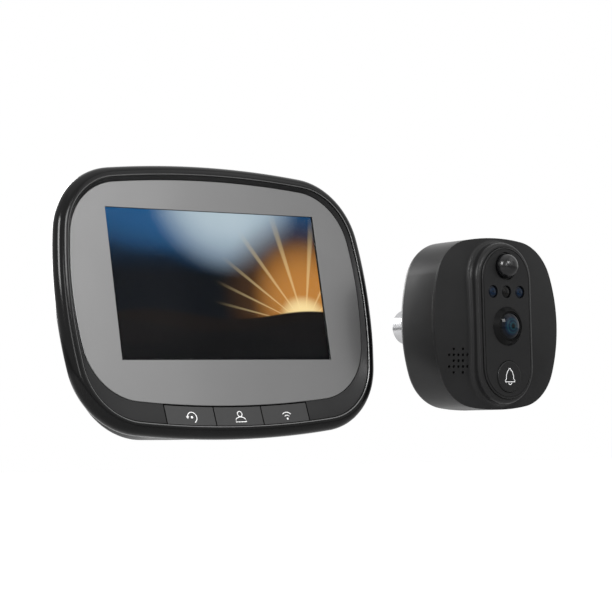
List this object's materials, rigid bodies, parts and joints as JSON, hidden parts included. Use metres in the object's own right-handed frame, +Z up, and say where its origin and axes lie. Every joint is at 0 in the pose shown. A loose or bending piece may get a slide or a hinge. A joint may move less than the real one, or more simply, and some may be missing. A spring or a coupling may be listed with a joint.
{
  "type": "peephole door camera",
  "caption": "Door viewer set: an indoor monitor with front keys on a wall plate, and an outdoor camera with a bell button and a hollow barrel through the door.",
  "frame": {"origin": "middle of the wall plate's back, where its four screw holes are centred", "axes": "+X to the right seen from the front, +Z up along the outdoor unit, the faces look to -Y; the monitor and its plate lean back 10 degrees about X, as pictured"},
  "size_m": [0.2131, 0.0818, 0.1014],
  "materials": {
    "rim_gloss": "glossy black moulded plastic",
    "satin_black": "satin black moulded plastic",
    "inner_plastic": "black moulded plastic",
    "cover_glass": "grey half-mirror cover glass",
    "picture": "lit picture panel",
    "board": "green solder mask",
    "chip": "black moulded chip",
    "bright_steel": "zinc plated steel",
    "barrel_chrome": "polished chrome plate",
    "battery_foil": "foil pouch",
    "aerial_foil": "copper foil on film",
    "seal_rubber": "soft black rubber",
    "lens_glass": "coated optical glass",
    "dome_gloss": "glossy black moulded dome"
  },
  "bodies": {
    "door_side": {"wall_plate": "bright_steel", "plate_hooks": "bright_steel", "clamp_tube": "barrel_chrome", "front_shell": "satin_black", "back_shell": "satin_black", "seam_gasket": "seal_rubber", "door_pad": "seal_rubber", "entry_barrel": "barrel_chrome", "shell_screws": "bright_steel", "outdoor_board": "board", "outdoor_speaker": "inner_plastic", "outdoor_microphone": "bright_steel", "cable_socket": "inner_plastic", "front_panel": "satin_black", "lens_bezel": "satin_black", "lens_glass": "lens_glass", "lens_barrel": "inner_plastic", "lens_holder": "inner_plastic", "image_sensor": "chip", "led_lenses": "lens_glass", "sensor_window": "lens_glass", "ir_emitters": "chip", "light_sensor": "chip", "pir_sensor": "bright_steel", "pir_dome": "dome_gloss", "bell_switch": "inner_plastic"},
    "display": {"front_frame": "rim_gloss", "screen_glass": "cover_glass", "lcd_panel": "picture", "mid_frame": "inner_plastic", "main_board": "board", "processor_shield": "bright_steel", "board_chips": "chip", "board_screws": "bright_steel", "key_board": "board", "key_switches": "inner_plastic", "indoor_microphone": "bright_steel", "rear_housing": "satin_black", "rear_cover": "satin_black", "usb_port": "bright_steel", "card_slot": "inner_plastic", "power_switch": "inner_plastic", "battery_pack": "battery_foil", "wifi_antenna": "aerial_foil", "indoor_speaker": "inner_plastic", "ribbon_socket": "inner_plastic", "housing_screws": "bright_steel"},
    "left_key": {"left_key": "satin_black"},
    "centre_key": {"centre_key": "satin_black"},
    "right_key": {"right_key": "satin_black"},
    "power_slider": {"power_slider": "satin_black"},
    "bell_button": {"bell_button": "satin_black"}
  },
  "joints": [
    {"name": "display_lift", "type": "slide", "parent": "door_side", "child": "display", "axis": [0, 0.1736, 0.9848], "range_m": [0, 0.007]},
    {"name": "left_key_press", "type": "slide", "parent": "display", "child": "left_key", "axis": [0, 0.9848, -0.1736], "range_m": [0, 0.0005], "stiffness_N_per_m": 1200, "springref_m": -0.0003},
    {"name": "centre_key_press", "type": "slide", "parent": "display", "child": "centre_key", "axis": [0, 0.9848, -0.1736], "range_m": [0, 0.0005], "stiffness_N_per_m": 1200, "springref_m": -0.0003},
    {"name": "right_key_press", "type": "slide", "parent": "display", "child": "right_key", "axis": [0, 0.9848, -0.1736], "range_m": [0, 0.0005], "stiffness_N_per_m": 1200, "springref_m": -0.0003},
    {"name": "power_slide", "type": "slide", "parent": "display", "child": "power_slider", "axis": [0, 0.1736, 0.9848], "range_m": [0, 0.0025]},
    {"name": "bell_press", "type": "slide", "parent": "door_side", "child": "bell_button", "axis": [0, 1, 0], "range_m": [0, 0.0007], "stiffness_N_per_m": 1200, "springref_m": -0.0003}
  ]
}
